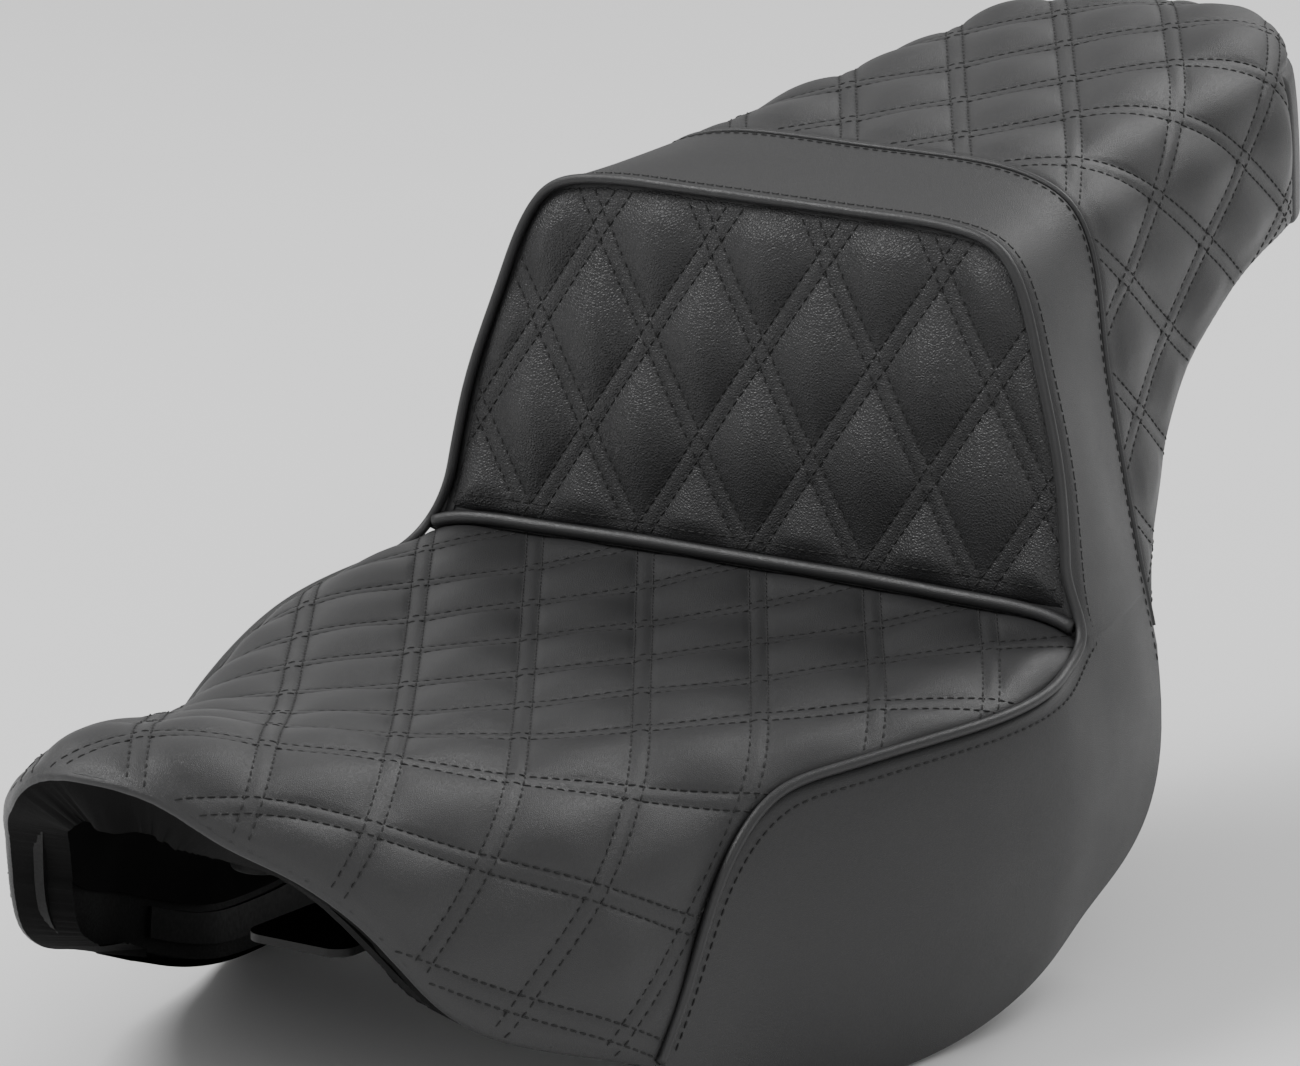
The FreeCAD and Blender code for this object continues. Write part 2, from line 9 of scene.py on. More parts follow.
import bpy
import numpy as np
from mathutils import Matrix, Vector


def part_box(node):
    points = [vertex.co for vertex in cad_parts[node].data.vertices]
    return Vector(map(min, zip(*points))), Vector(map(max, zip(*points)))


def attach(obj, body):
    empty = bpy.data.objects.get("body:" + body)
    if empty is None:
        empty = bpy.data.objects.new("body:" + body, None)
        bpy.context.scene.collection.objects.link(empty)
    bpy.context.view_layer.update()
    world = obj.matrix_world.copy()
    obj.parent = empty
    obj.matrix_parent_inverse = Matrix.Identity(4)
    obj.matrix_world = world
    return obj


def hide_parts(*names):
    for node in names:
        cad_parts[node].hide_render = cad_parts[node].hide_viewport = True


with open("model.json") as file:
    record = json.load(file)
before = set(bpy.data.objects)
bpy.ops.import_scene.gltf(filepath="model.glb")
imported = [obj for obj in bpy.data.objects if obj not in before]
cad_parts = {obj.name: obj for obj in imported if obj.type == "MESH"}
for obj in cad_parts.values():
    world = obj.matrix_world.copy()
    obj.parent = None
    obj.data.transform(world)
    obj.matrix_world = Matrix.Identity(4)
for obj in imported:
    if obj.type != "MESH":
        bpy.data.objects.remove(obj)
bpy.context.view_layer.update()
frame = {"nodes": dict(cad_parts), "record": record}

# --- driving dimensions, millimetres ------------------------------------------------------
STEP = 1.4                 # grid spacing of the quilted panels
COUNT = 241                # points along a half section
DIAMOND_X = 25.4           # half width of a quilting diamond
DIAMOND_Y = 38.1           # half length of a quilting diamond
PAIR = 3.175               # half distance between the two rows of a stitch line
STITCH_PITCH = 4.2
STITCH_LENGTH = 3.1
THREAD_R = 0.4
EDGE_FREE = 1.0            # from a panel's edge to the nearest stitch
RIDGE = 0.35               # height of the ridge between the two rows of a stitch line
GROOVE = 0.45              # depth of the groove along a row of stitches
GROOVE_W = 0.9             # its width
PUCKER_W = 3.0             # width of the puckered strip along a row of stitches
EDGE_PUFF = 0.12           # share of the padding that is left at a panel's edge
UNEVEN = 0.35              # height of the panels' slow unevenness
UNEVEN_SIZE = 46.0         # its wavelength
SINK = 1.6                 # how far a cover dips at its seams
BAND_SINK = 1.4            # the same on the band
SINK_REACH = 4.5           # width of that dip
RIDER_PITCH = 0.985        # length of the rider's diamonds against DIAMOND_Y
BACK_DIAMOND_Y = 38.5      # half height of a diamond on the back panel
BACK_START = 1.7           # from the foot of the back panel down to its first row of corners
PASSENGER_START = 62.0     # y of a row of corners on the passenger's panel
PIPING_R = 2.0
ROLL_R = 2.7
REAR_WELT_R = 1.3
TOPSTITCH = 6.0            # from a seam to its row of topstitching
REAR_TOPSTITCH = 5.0       # the same before the rear seam
FOOT_TOPSTITCH = 4.6       # height of the row along the foot of the back panel
HEM_R = 2.0                # bend of the covers' lower edge
HEM_DEPTH = 14.0           # how far the edge reaches in, up to the pan
NOSE_DEPTH = 21.0          # the same at the nose
NOSE_TIP = -404.0          # y of the nose
NOSE_ROUND = -396.0        # y where its rounding starts
RIDER_END = -5.0           # y of the rider cover's rear edge
SKIRT_FRONT = -246.0       # y of the skirts' front end
BAND_SEAM = 74.0           # y of the seam behind the band
SEAM_HALF = 0.8            # from that seam to the edge of either cover
TAIL_SEAM = 268.0          # y where the tail strip starts on the sides
TAIL_RIM = 146.0           # height of the seam along the tail's rim
TAIL_POINTS = 120          # points along a row round the tail
TAIL_SPACING = 2.0         # about how far apart they are
LEAN = 0.085               # rearward lean of the back panel, mm per mm of height
FACE_FOOT = (-4.0, -5.0)   # y and z of the lower edge of the back panel's face
FACE_TOP = 132.0           # height of its upper edge
BACK_INSET = 2.4           # from the surround's edge in to the back panel's
SKIRT_TOP = -12.0          # height where the skirts meet the band
BAND_FADE = 30.0           # height over which the band's width runs out from the skirts'
FLANGE = 4.0               # how far the band's edge turns in over the back panel's face
FLANGE_LIP = 0.4           # from that edge to the bend of the flange
FLANGE_LIFT = 0.3          # how far the flange stands before the face
SEED = 7

# Half sections (x, z) from the centre line to below the skirt edge, by y; the nose first.
RIDER = [
    (-404, [(0, 6), (20, 3), (36, -6), (47, -20), (55, -40), (61, -66), (65, -95), (68, -130)]),
    (-390, [(0, 11), (22, 7), (40, -5), (52, -20), (62, -42), (70, -70), (76, -100), (79, -132)]),
    (-374, [(0, 13), (26, 8), (46, -3), (60, -20), (70, -44), (78, -72), (84, -102), (87, -134)]),
    (-340, [(0, 8), (28, 5), (52, -4), (70, -19), (82, -43), (90, -72), (96, -104), (99, -138)]),
    (-300, [(0, -1), (30, -2), (55, -6), (76, -20), (91, -38), (100, -65), (107, -100), (111, -142)]),
    (-262, [(0, -8), (32, -9), (60, -12), (82, -20), (101, -36), (114, -62), (121, -100), (124, -150)]),
    (-225, [(0, -13), (40, -13), (72, -16), (94, -23), (110, -38), (121, -64), (127, -102), (128, -158)]),
    (-187, [(0, -15), (45, -15), (82, -16), (106, -22), (122, -36), (131, -62), (134, -102), (130, -162)]),
    (-150, [(0, -15), (48, -14), (88, -15), (116, -19), (135, -31), (144, -60), (146, -100), (138, -164)]),
    (-112, [(0, -14), (50, -14), (95, -14), (127, -16), (147, -27), (155, -56), (156, -96), (141, -164)]),
    (-74, [(0, -13), (52, -12), (100, -12), (134, -14), (155, -24), (162, -54), (161, -94), (143, -162)]),
    (-36, [(0, -10), (52, -10), (100, -10), (132, -11), (154, -21), (163, -52), (161, -90), (142, -156)]),
    (-4, [(0, -5), (52, -5), (100, -6), (128, -7), (146, -12), (156, -40), (156, -84), (139, -146)]),
]
REAR = [
    (0, [(0, 132), (48, 132), (82, 131), (102, 125), (112, 112), (121, 88), (134, 46),
         (145, -12), (155, -42), (154, -84), (138, -144)]),
    (30, [(0, 136), (48, 136), (78, 134), (98, 126), (109, 110), (117, 82), (128, 42),
          (140, -12), (148, -42), (148, -82), (135, -140)]),
    (74, [(0, 142), (44, 142), (72, 139), (91, 130), (101, 111), (106, 80), (114, 38),
          (126, -14), (133, -44), (136, -82), (132, -138)]),
    (110, [(0, 146), (44, 145), (70, 143), (87, 131), (96, 110), (100, 74), (106, 30),
           (114, -16), (120, -46), (124, -84), (124, -138)]),
    (140, [(0, 149), (44, 149), (68, 146), (84, 133), (91, 112), (94, 72), (98, 28),
           (104, -18), (109, -48), (113, -86), (114, -138)]),
    (178, [(0, 154), (42, 153), (66, 150), (80, 138), (87, 118), (89, 76), (92, 30),
           (96, -20), (100, -50), (103, -88), (105, -138)]),
    (216, [(0, 159), (40, 158), (62, 154), (76, 142), (82, 122), (84, 80), (86, 32),
           (89, -20), (92, -50), (95, -88), (97, -138)]),
    (254, [(0, 163), (38, 162), (58, 158), (71, 146), (76, 126), (78, 84), (79, 34),
           (82, -20), (84, -50), (87, -88), (89, -138)]),
    (280, [(0, 164), (32, 163), (50, 159), (62, 148), (67, 129), (69, 86), (70, 36),
           (72, -20), (74, -50), (76, -88), (78, -138)]),
    (300, [(0, 162), (26, 161), (41, 158), (51, 148), (55, 131), (57, 88), (58, 38),
           (60, -20), (61, -50), (63, -88), (64, -138)]),
    (313, [(0, 157), (19, 156), (30, 153), (38, 145), (41, 131), (42, 90), (43, 40),
           (44, -20), (45, -50), (46, -88), (47, -138)]),
    (320, [(0, 147), (12, 147), (19, 145), (24, 140), (26, 129), (27, 90), (27, 40),
           (28, -20), (28, -50), (29, -88), (29, -138)]),
]
# Side view (y, z) of the covers' lower edge, and of the seam between rider cover and skirts.
LOWER_EDGE = [
    (-420, 17), (-410, 11), (-403, 5), (-392, -10), (-374, -26), (-354, -46), (-341, -64), (-326, -82),
    (-303, -96), (-272, -107), (-240, -118), (-210, -129), (-180, -137), (-150, -142), (-120, -144),
    (-90, -142), (-60, -136), (-30, -127), (0, -117), (30, -105), (52, -89), (65, -64), (71, -38),
    (82, -19), (97, -2), (118, 17), (139, 36), (164, 55), (194, 70), (222, 80), (252, 86), (285, 88),
    (340, 87),
]
SIDE_SEAM = [
    (-268, -152), (-258, -132), (-245, -112), (-232, -93), (-219, -73), (-205, -55), (-190, -42),
    (-174, -34), (-150, -30), (-115, -27), (-80, -25), (-52, -23), (-24, -19), (0, -12),
]
WELT_LIP_TOP = 40.0        # height up to which the perimeter welt shows its seam allowance
PIPING_TURN = (147.6, -8.0, -10.0)      # where the perimeter welt turns up the back panel
FOOT_LIP_HALF = 144.0      # half width of the foot welt's seam allowance
FOOT_LIP_RISE = 7.0        # how far it reaches up behind the back panel
# Left half of the foot welt (x, z), from the perimeter welt to the middle.
FOOT_LINE = [(143.5, -10.6), (139.0, -9.0), (128.0, -6.9), (100.0, -5.8), (52.0, -4.9), (8.0, -4.9)]

# The frame's place of the foot of the back panel, in metres: the foot roll's rear side and the
# lowest edge of the skirts fix it.
FOOT_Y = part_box("foot_roll")[1][1] + 0.0041
FOOT_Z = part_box("surround_cover")[0][2] + 0.144


# --- curves and skins ---------------------------------------------------------------------
def dip(gap, depth=SINK):
    """How far a cover dips at a distance from its seam."""
    return depth * np.clip(1 - gap / SINK_REACH, 0, 1) ** 2


def natural_spline(knots, values, at):
    """Natural cubic spline through values (knots, ...), evaluated at several places."""
    knots = np.asarray(knots, float)
    values = np.asarray(values, float)
    n = len(knots)
    h = np.diff(knots)
    a = np.eye(n)
    b = np.zeros(values.shape)
    for i in range(1, n - 1):
        a[i, i - 1:i + 2] = h[i - 1], 2 * (h[i - 1] + h[i]), h[i]
        b[i] = 6 * ((values[i + 1] - values[i]) / h[i] - (values[i] - values[i - 1]) / h[i - 1])
    m = np.linalg.solve(a, b.reshape(n, -1)).reshape(values.shape)
    at = np.clip(at, knots[0], knots[-1])
    i = np.clip(np.searchsorted(knots, at) - 1, 0, n - 2)
    shape = (len(at),) + (1,) * (values.ndim - 1)
    gap = h[i].reshape(shape)
    left = (at - knots[i]).reshape(shape)
    right = gap - left
    return ((m[i] * right ** 3 + m[i + 1] * left ** 3) / (6 * gap)
            + (values[i] / gap - m[i] * gap / 6) * right
            + (values[i + 1] / gap - m[i + 1] * gap / 6) * left)


def arc_lengths(points):
    """Distance along a polyline at each of its points."""
    steps = np.linalg.norm(np.diff(points, axis=0), axis=1)
    return np.concatenate([[0.0], np.cumsum(steps)])


def smooth_line(points, step):
    """Points every step along a smooth curve through the given points."""
    points = np.asarray(points, float)
    chord = arc_lengths(points)
    dense = natural_spline(chord, points, np.linspace(0, chord[-1], 4000))
    length = arc_lengths(dense)
    even = np.linspace(0, length[-1], max(int(length[-1] / step), 2) + 1)
    return np.column_stack([np.interp(even, length, dense[:, k]) for k in range(points.shape[1])])


EDGE_LINE = smooth_line(LOWER_EDGE, 0.5)
SEAM_LINE = smooth_line(SIDE_SEAM, 0.5)


def edge_z(y):
    """Height of the covers' lower edge."""
    return np.interp(y, EDGE_LINE[:, 0], EDGE_LINE[:, 1])


def seam_z(y):
    """Height of the seam between rider cover and skirts."""
    return np.interp(y, SEAM_LINE[:, 0], SEAM_LINE[:, 1])


class Skin:
    """Smooth surface through half sections; s is the distance from the centre line along a section."""

    def __init__(self, table):
        halves = []
        lengths = []
        for _, half in table:
            half = np.array(half, float)
            full = np.vstack([half[:0:-1] * (-1, 1), half])
            line = smooth_line(full, 0.25)
            line = line[len(line) // 2:]
            length = arc_lengths(line)
            even = np.linspace(0, length[-1], COUNT)
            halves.append(np.column_stack([np.interp(even, length, line[:, k]) for k in (0, 1)]))
            lengths.append(length[-1])
        self.knots = [y for y, _ in table]
        self.halves = np.array(halves)
        self.lengths = np.array(lengths)

    def rows(self, ys):
        """Sections at several y, and their lengths."""
        return natural_spline(self.knots, self.halves, ys), natural_spline(self.knots, self.lengths, ys)

    def reach(self, ys, heights):
        """s at which each section falls through a height."""
        sections, lengths = self.rows(ys)
        found = []
        for section, length, height in zip(sections, lengths, heights):
            above = np.nonzero(section[:, 1] >= height)[0]
            last = min(above[-1], COUNT - 2) if len(above) else 0
            z0, z1 = section[last, 1], section[last + 1, 1]
            part = np.clip((z0 - height) / max(z0 - z1, 1e-6), 0, 1)
            found.append((last + part) * length / (COUNT - 1))
        return np.array(found)

    def points(self, ys, s):
        """Positions at rows ys and distances s, an array of one row per y."""
        sections, lengths = self.rows(ys)
        out = np.empty(s.shape + (3,))
        for k, (section, length) in enumerate(zip(sections, lengths)):
            along = np.linspace(0, length, COUNT)
            out[k, :, 0] = np.interp(abs(s[k]), along, section[:, 0]) * np.sign(s[k])
            out[k, :, 2] = np.interp(abs(s[k]), along, section[:, 1])
            lean = LEAN * np.maximum(out[k, :, 2], 0) * (1 - ys[k] / BAND_SEAM)
            out[k, :, 1] = ys[k] + (lean if 0 <= ys[k] < BAND_SEAM else 0)
        return out


rider_skin = Skin(RIDER)
rear_skin = Skin(REAR)


def unit(vectors):
    """Vectors scaled to length one."""
    return vectors / np.maximum(np.linalg.norm(vectors, axis=-1, keepdims=True), 1e-9)


def grid_normals(points):
    """Outward normals of a grid whose rows run towards +Y or up and columns towards +X."""
    return unit(np.cross(np.gradient(points, axis=1), np.gradient(points, axis=0)))


# --- outlines in a panel's own plane ------------------------------------------------------
def mirrored(half):
    """Closed outline from one half, whose first and last points are on the centre line."""
    half = np.asarray(half, float)
    return np.vstack([half, half[-2:0:-1] * (-1, 1)])


def inside(outline, points):
    """Which points lie within a closed outline."""
    x, y = points[..., 0], points[..., 1]
    odd = np.zeros(x.shape, bool)
    for (x0, y0), (x1, y1) in zip(outline, np.roll(outline, -1, axis=0)):
        if y0 != y1:
            crosses = (y0 > y) != (y1 > y)
            odd ^= crosses & (x < (x1 - x0) * (y - y0) / (y1 - y0) + x0)
    return odd


def nearest(outline, points):
    """Closest point of a closed outline to each point, and its distance."""
    best = np.full(len(points), 1e9)
    spot = np.zeros((len(points), 2))
    for a, b in zip(outline, np.roll(outline, -1, axis=0)):
        edge = b - a
        t = np.clip((points - a) @ edge / max(edge @ edge, 1e-9), 0, 1)
        near = a + t[:, None] * edge
        gap = np.linalg.norm(points - near, axis=1)
        closer = gap < best
        best[closer] = gap[closer]
        spot[closer] = near[closer]
    return spot, best


# --- quilting -----------------------------------------------------------------------------
def lattice(s, f, across, along):
    """Distances from the two families of quilting lines; f is measured along the diamonds."""
    rate = math.hypot(1 / across, 1 / along) / 2
    p = (s / across + f / along) / 2
    q = (s / across - f / along) / 2
    return abs(p - np.round(p)) / rate, abs(q - np.round(q)) / rate


def pillow(dp, dq, height):
    """Height of the padded cells and of the low ridge between the rows of a stitch line."""
    half = 0.5 / (math.hypot(1 / DIAMOND_X, 1 / DIAMOND_Y) / 2)
    rise = []
    for d in (dp, dq):
        e = np.clip((d - PAIR) / (half - PAIR), 0, 1)
        rise.append(np.sin(e * math.pi / 2) ** 0.8)
    cell = height * rise[0] * rise[1]
    d = np.minimum(dp, dq)
    ridge = RIDGE * np.clip(1 - (d / PAIR) ** 2, 0, 1)
    groove = -GROOVE * np.exp(-((d - PAIR) / GROOVE_W) ** 2)
    return cell + ridge + groove


def ripples(points, size, seed):
    """Smooth random unevenness between -1 and 1."""
    random = np.random.default_rng(seed)
    total = np.zeros(points.shape[:-1])
    for _ in range(14):
        direction = random.normal(size=3)
        direction *= 2 * math.pi / size / np.linalg.norm(direction) * random.uniform(0.6, 1.5)
        total += np.sin(points @ direction + random.uniform(0, 2 * math.pi))
    return total / 5.0


class Panel:
    """A quilted cover: a fine grid on a surface, trimmed to an outline."""

    def __init__(self, outline, base, forward, height, fade, seed):
        low = outline.min(axis=0) - 2 * STEP
        high = outline.max(axis=0) + 2 * STEP
        self.outline = outline
        self.cols = np.arange(low[0], high[0], STEP)
        self.rows = np.arange(low[1], high[1], STEP)
        s, v = np.meshgrid(self.cols, self.rows)
        plane = np.stack([s, v], axis=-1)
        self.inner = inside(outline, plane)
        self.snapped, gap = nearest(outline, plane.reshape(-1, 2))
        self.gap = np.where(self.inner, gap.reshape(s.shape), 0.0)
        points = base(self.rows, s)
        normals = grid_normals(points)
        self.forward = forward
        dp, dq = lattice(s, forward(v), DIAMOND_X, DIAMOND_Y)
        soft = np.clip(self.gap / fade, 0, 1)
        soft = soft * soft * (3 - 2 * soft)
        lift = pillow(dp, dq, height) * (EDGE_PUFF + (1 - EDGE_PUFF) * soft)
        lift += UNEVEN * ripples(points, UNEVEN_SIZE, seed) * soft
        lift -= dip(self.gap)
        self.seam = np.exp(-((np.minimum(dp, dq) - PAIR) / PUCKER_W) ** 2)
        self.points = points + normals * lift[..., None]
        self.normals = grid_normals(self.points)

    def sample(self, grid, plane):
        """Bilinear value of a grid at points (s, v) of the panel's plane."""
        c = np.clip((plane[..., 0] - self.cols[0]) / STEP, 0, len(self.cols) - 1.001)
        r = np.clip((plane[..., 1] - self.rows[0]) / STEP, 0, len(self.rows) - 1.001)
        i, j = r.astype(int), c.astype(int)
        a, b = (r - i), (c - j)
        if grid.ndim == 3:
            a, b = a[..., None], b[..., None]
        return ((1 - a) * ((1 - b) * grid[i, j] + b * grid[i, j + 1])
                + a * ((1 - b) * grid[i + 1, j] + b * grid[i + 1, j + 1]))

    def mesh(self):
        """Vertices, faces and seam values; grid points just outside are moved onto the outline."""
        r, c = self.inner.shape
        edge = self.sample(self.points, self.snapped).reshape(r, c, 3)
        verts = np.where(self.inner[..., None], self.points, edge)
        quad = self.inner[:-1, :-1] | self.inner[1:, :-1] | self.inner[:-1, 1:] | self.inner[1:, 1:]
        i, j = np.nonzero(quad)
        k = i * c + j
        faces = np.column_stack([k, k + 1, k + c + 1, k + c])
        used = np.unique(faces)
        index = np.full(r * c, -1)
        index[used] = np.arange(len(used))
        return verts.reshape(-1, 3)[used], index[faces], self.seam.reshape(-1)[used]

    def stitch_rows(self):
        """Places, directions and normals of every stitch of the quilting."""
        size = math.hypot(DIAMOND_X, DIAMOND_Y)
        along = np.arange(-720, 720, STITCH_PITCH)
        out = []
        flip = 1 if self.forward(1.0) > self.forward(0.0) else -1
        for sign in (1, -1):
            direction = np.array([DIAMOND_X, -sign * DIAMOND_Y]) / size
            normal = np.array([DIAMOND_Y, sign * DIAMOND_X]) / size
            for k in range(-14, 15):
                for side in (-PAIR, PAIR):
                    line = np.array([2 * DIAMOND_X * k, 0]) + normal * side + along[:, None] * direction
                    plane = np.column_stack([line[:, 0], self.unforward(line[:, 1])])
                    keep = inside(self.outline, plane)
                    keep[keep] &= nearest(self.outline, plane[keep])[1] > EDGE_FREE
                    step = np.array([direction[0], direction[1] * flip])
                    out.append((plane[keep], np.tile(step, (keep.sum(), 1))))
        plane = np.vstack([a for a, _ in out])
        step = np.vstack([b for _, b in out])
        return self.stitches_at(plane, step)

    def unforward(self, f):
        """The panel coordinate whose lattice distance is f."""
        zero, one = self.forward(0.0), self.forward(1.0)
        return (f - zero) / (one - zero)

    def stitches_at(self, plane, step):
        """Positions, directions and normals on the padded surface."""
        here = self.sample(self.points, plane)
        ahead = self.sample(self.points, plane + step * 0.5 * STITCH_LENGTH)
        behind = self.sample(self.points, plane - step * 0.5 * STITCH_LENGTH)
        return (ahead + behind + here) / 3, unit(ahead - behind), unit(self.sample(self.normals, plane))


# --- mesh helpers -------------------------------------------------------------------------
def to_frame(points):
    """Millimetres from the foot of the back panel to metres of the frame."""
    return points * 0.001 + np.array([0.0, FOOT_Y, FOOT_Z])


def new_object(name, verts, faces, material, seam=None):
    """Smooth mesh object from millimetre vertices and lists of faces."""
    mesh = bpy.data.meshes.new(name)
    mesh.from_pydata(to_frame(np.asarray(verts, float)).tolist(), [], [list(map(int, f)) for f in faces])
    mesh.validate()
    mesh.shade_smooth()
    if seam is not None:
        layer = mesh.attributes.new("seam", "FLOAT", "POINT")
        layer.data.foreach_set("value", np.asarray(seam, np.float32))
    mesh.materials.append(material)
    obj = bpy.data.objects.new(name, mesh)
    bpy.context.scene.collection.objects.link(obj)
    return obj


def joined(parts):
    """Several (verts, faces) as one."""
    verts, faces, start = [], [], 0
    for v, f in parts:
        verts.append(v)
        faces.extend([[i + start for i in face] for face in f])
        start += len(v)
    return np.vstack(verts), faces


def strip_faces(rows, cols, closed=False):
    """Quads of a grid of rows x cols; closed joins the last column to the first."""
    last = cols if closed else cols - 1
    return [[i * cols + j, i * cols + (j + 1) % cols, (i + 1) * cols + (j + 1) % cols, (i + 1) * cols + j]
            for i in range(rows - 1) for j in range(last)]


def tube(path, radius, sides=12):
    """Round cord along a path with closed ends."""
    path = np.asarray(path, float)
    tangent = unit(np.gradient(path, axis=0))
    side = unit(np.cross(tangent[0], [0.3, 0.2, 1.0]))
    rings = []
    for point, t in zip(path, tangent):
        side = unit(side - t * (side @ t))
        up = np.cross(t, side)
        turn = np.linspace(0, 2 * math.pi, sides, endpoint=False)
        rings.append(point + radius * (np.cos(turn)[:, None] * side + np.sin(turn)[:, None] * up))
    faces = strip_faces(len(path), sides, closed=True)
    faces.append(list(range(sides))[::-1])
    faces.append([(len(path) - 1) * sides + k for k in range(sides)])
    return np.vstack(rings), faces


def stitch_mesh(places, along, normals, length=STITCH_LENGTH, radius=THREAD_R):
    """One short arched thread at every place, its ends drawn into the cover."""
    rings = [(-0.5, 0.45, -0.75), (-0.36, 0.9, 0.0), (0.0, 1.0, 0.32), (0.36, 0.9, 0.0), (0.5, 0.45, -0.75)]
    sides = 6
    turn = np.linspace(0, 2 * math.pi, sides, endpoint=False)
    local = np.array([(x * length, r * radius * math.cos(a), (r * math.sin(a) + lift) * radius)
                      for x, r, lift in rings for a in turn])
    across = unit(np.cross(normals, along))
    up = np.cross(along, across)
    verts = (places[:, None] + local[None, :, 0:1] * along[:, None] + local[None, :, 1:2] * across[:, None]
             + local[None, :, 2:3] * up[:, None])
    one = strip_faces(len(rings), sides, closed=True)
    one += [list(range(sides))[::-1], [(len(rings) - 1) * sides + k for k in range(sides)]]
    faces = [[i + n * len(local) for i in face] for n in range(len(places)) for face in one]
    return verts.reshape(-1, 3), faces


def along_line(points, normals, pitch=STITCH_PITCH):
    """Stitch places, directions and normals along a line on a surface."""
    length = arc_lengths(points)
    even = np.arange(pitch, length[-1] - pitch / 2, pitch)
    place = np.column_stack([np.interp(even, length, points[:, k]) for k in range(3)])
    normal = np.column_stack([np.interp(even, length, normals[:, k]) for k in range(3)])
    return place, unit(np.gradient(place, axis=0)), unit(normal)


def hem(points, normals, depth=HEM_DEPTH):
    """The covers' lower edge along a line: the bend, and the flat that is turned in to the pan."""
    ahead = unit(np.gradient(points, axis=0))
    down = unit(np.cross(normals, ahead))
    down *= np.sign((down @ np.array([0, -0.15, -1.0])).mean())
    rows = []
    for angle in np.linspace(0, math.pi / 2, 7):
        rows.append(points + HEM_R * (math.sin(angle) * down - (1 - math.cos(angle)) * normals))
    flat = [rows[-1] - reach * normals for reach in np.linspace(0, depth, 5)]
    faces = [strip_faces(len(part), len(points)) for part in (rows, flat)]
    return (np.vstack(rows), faces[0]), (np.vstack(flat), faces[1])


# --- node materials -----------------------------------------------------------------------
def new_material(name):
    """Empty node material: its tree and its principled shader."""
    material = bpy.data.materials.new(name)
    material.use_nodes = True
    return material, material.node_tree, material.node_tree.nodes["Principled BSDF"]


def add_node(tree, kind, values=None, **settings):
    """A node with settings and input values; a value that is a socket is linked."""
    node = tree.nodes.new(kind)
    for key, value in settings.items():
        setattr(node, key, value)
    for key, value in (values or {}).items():
        if isinstance(value, bpy.types.NodeSocket):
            tree.links.new(value, node.inputs[key])
        else:
            node.inputs[key].default_value = value
    return node


def math_node(tree, operation, a, b):
    """Result of a math operation on two values or sockets."""
    return add_node(tree, "ShaderNodeMath", {0: a, 1: b}, operation=operation).outputs[0]


def ramp(tree, fac, low, high, start=0.0, end=1.0):
    """Map a value between start and end to low and high."""
    node = add_node(tree, "ShaderNodeMapRange", {"Value": fac, "From Min": start, "From Max": end,
                                                 "To Min": low, "To Max": high})
    return node.outputs["Result"]


def noise(tree, vector, scale, detail=3.0, rough=0.5):
    """Noise value at a scale per metre."""
    node = add_node(tree, "ShaderNodeTexNoise", {"Vector": vector, "Scale": scale, "Detail": detail,
                                                 "Roughness": rough})
    return node.outputs["Fac"]


def grey(value):
    """Neutral colour."""
    return value, value, value


def colour_between(tree, fac, dark, light):
    """Colour between two colours."""
    node = add_node(tree, "ShaderNodeMix", {"Factor": fac, "A": (*dark, 1), "B": (*light, 1)},
                    data_type="RGBA")
    return node.outputs["Result"]


def vinyl(name, dark, light, roughness, pebble, grain):
    """Upholstery vinyl: pebbled grain, puckers at the stitching, uneven gloss."""
    material, tree, shader = new_material(name)
    place = add_node(tree, "ShaderNodeTexCoord").outputs["Object"]
    bent = add_node(tree, "ShaderNodeTexNoise",
                    {"Vector": place, "Scale": 700.0, "Detail": 2.0}).outputs["Color"]
    shifted = add_node(tree, "ShaderNodeVectorMath", {0: bent, 1: (0.0009, 0.0009, 0.0009)},
                       operation="MULTIPLY").outputs[0]
    vector = add_node(tree, "ShaderNodeVectorMath", {0: place, 1: shifted}, operation="ADD").outputs[0]
    cells = add_node(tree, "ShaderNodeTexVoronoi", {"Vector": vector, "Scale": pebble},
                     feature="DISTANCE_TO_EDGE").outputs["Distance"]
    bead = ramp(tree, cells, 0.0, 1.0, 0.0, 0.32)
    fine = noise(tree, place, 3200.0, 2.0)
    seam = add_node(tree, "ShaderNodeAttribute", attribute_name="seam").outputs["Fac"]
    pucker = noise(tree, place, 260.0, 3.0, 0.6)
    hide = math_node(tree, "MULTIPLY", bead, grain)
    hide = math_node(tree, "ADD", hide, math_node(tree, "MULTIPLY", fine, 0.25 * grain))
    puckers = math_node(tree, "MULTIPLY", math_node(tree, "MULTIPLY", pucker, seam), 1.1)
    hide = math_node(tree, "ADD", hide, puckers)
    bump = add_node(tree, "ShaderNodeBump", {"Height": hide, "Strength": 0.8, "Distance": 0.00022})
    tree.links.new(bump.outputs["Normal"], shader.inputs["Normal"])
    # Colour: random darker and lighter patches, and darker in the hollows between the pebbles as painted
    # shade.
    patchy = noise(tree, place, 22.0, 4.0)
    fac = math_node(tree, "MULTIPLY", patchy, ramp(tree, bead, 0.55, 1.0))
    tree.links.new(colour_between(tree, fac, dark, light), shader.inputs["Base Color"])
    gloss = math_node(tree, "ADD", ramp(tree, patchy, roughness - 0.05, roughness + 0.07, 0.3, 0.7),
                      math_node(tree, "MULTIPLY", bead, -0.05))
    tree.links.new(gloss, shader.inputs["Roughness"])
    shader.inputs["Specular IOR Level"].default_value = 0.5
    return material


